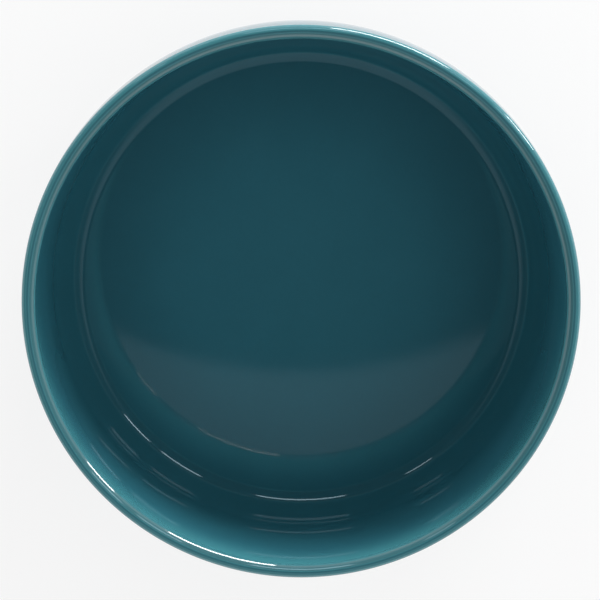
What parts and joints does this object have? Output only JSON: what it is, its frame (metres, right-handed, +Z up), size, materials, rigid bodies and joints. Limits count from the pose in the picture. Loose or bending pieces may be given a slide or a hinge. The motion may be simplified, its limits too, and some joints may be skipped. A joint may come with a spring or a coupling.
{
  "type": "bowl",
  "caption": "Round glazed stoneware bowl with an upright, slightly inward-leaning side, a rounded lip, a flat floor and a turned foot ring.",
  "frame": {"origin": "centre of the foot ring's tread, on the table", "axes": "+Z up along the bowl's axis of turning, X and Y level"},
  "size_m": [0.1782, 0.1782, 0.0759],
  "materials": {
    "clay": "bare fired stoneware, matt and finely sandy",
    "teal_glaze": "deep teal gloss glaze, thinner and lighter on the lip"
  },
  "bodies": {
    "root": {"clay_body": "clay", "bowl_glaze": "teal_glaze", "base_glaze": "teal_glaze"}
  },
  "joints": []
}
